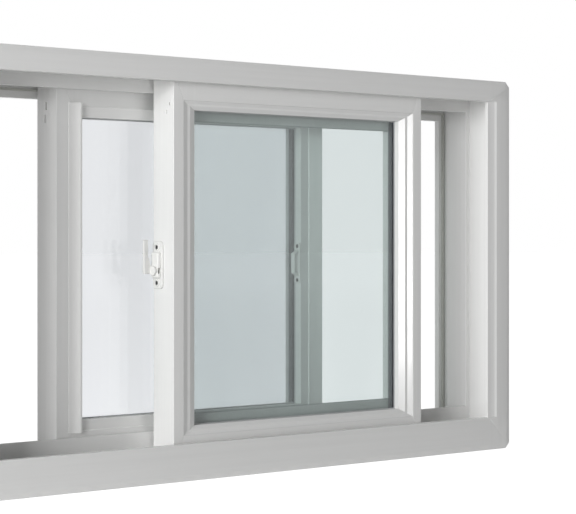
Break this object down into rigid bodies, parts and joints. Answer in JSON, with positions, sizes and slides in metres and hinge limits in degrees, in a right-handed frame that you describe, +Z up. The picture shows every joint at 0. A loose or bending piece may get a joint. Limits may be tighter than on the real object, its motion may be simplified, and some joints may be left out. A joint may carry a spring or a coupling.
{
  "type": "horizontal sliding window",
  "caption": "Horizontal sliding window: white PVC track frame with sashes that slide past each other, stepped glazing beads, double glazing, and a lever lock with its keeper.",
  "frame": {"origin": "middle of the sill's underside", "axes": "+X along the window, +Y from the room to the outside, +Z up"},
  "size_m": [1.042, 0.138, 0.6],
  "materials": {
    "white_pvc": "extruded white PVC, smooth with a soft satin gloss",
    "clear_glass": "clear float glass with a faint green cast",
    "spacer_bar": "dark grey warm-edge spacer",
    "track_aluminium": "mill-finish extruded aluminium",
    "roller_nylon": "moulded nylon wheels",
    "lock_enamel": "white enamelled die casting"
  },
  "bodies": {
    "frame": {"far_track": "track_aluminium", "frame_head": "white_pvc", "frame_sill": "white_pvc", "left_jamb": "white_pvc", "near_track": "track_aluminium", "right_jamb": "white_pvc"},
    "near_sash": {"near_bead_side_pane": "clear_glass", "near_bottom_bead": "white_pvc", "near_bottom_rail": "white_pvc", "near_flange_side_pane": "clear_glass", "near_jamb_bead": "white_pvc", "near_jamb_stile": "white_pvc", "near_meeting_bead": "white_pvc", "near_meeting_stile": "white_pvc", "near_rollers": "roller_nylon", "near_spacer": "spacer_bar", "near_top_bead": "white_pvc", "near_top_rail": "white_pvc", "lock_case": "lock_enamel"},
    "far_sash": {"far_bead_side_pane": "clear_glass", "far_bottom_bead": "white_pvc", "far_bottom_rail": "white_pvc", "far_flange_side_pane": "clear_glass", "far_jamb_bead": "white_pvc", "far_jamb_stile": "white_pvc", "far_meeting_bead": "white_pvc", "far_meeting_stile": "white_pvc", "far_pull_rail": "white_pvc", "far_rollers": "roller_nylon", "far_spacer": "spacer_bar", "far_top_bead": "white_pvc", "far_top_rail": "white_pvc", "keeper": "lock_enamel"},
    "lever": {"lock_lever": "lock_enamel"}
  },
  "joints": [
    {"name": "near_slide", "type": "slide", "parent": "frame", "child": "near_sash", "axis": [1, 0, 0], "range_m": [-0.272, 0.1615]},
    {"name": "far_slide", "type": "slide", "parent": "frame", "child": "far_sash", "axis": [1, 0, 0], "range_m": [-0.163, 0.32]},
    {"name": "lever_turn", "type": "hinge", "parent": "near_sash", "child": "lever", "pos_m": [-0.1685, -0.02, 0.298], "axis": [1, 0, 0], "range_deg": [0, 90]}
  ]
}
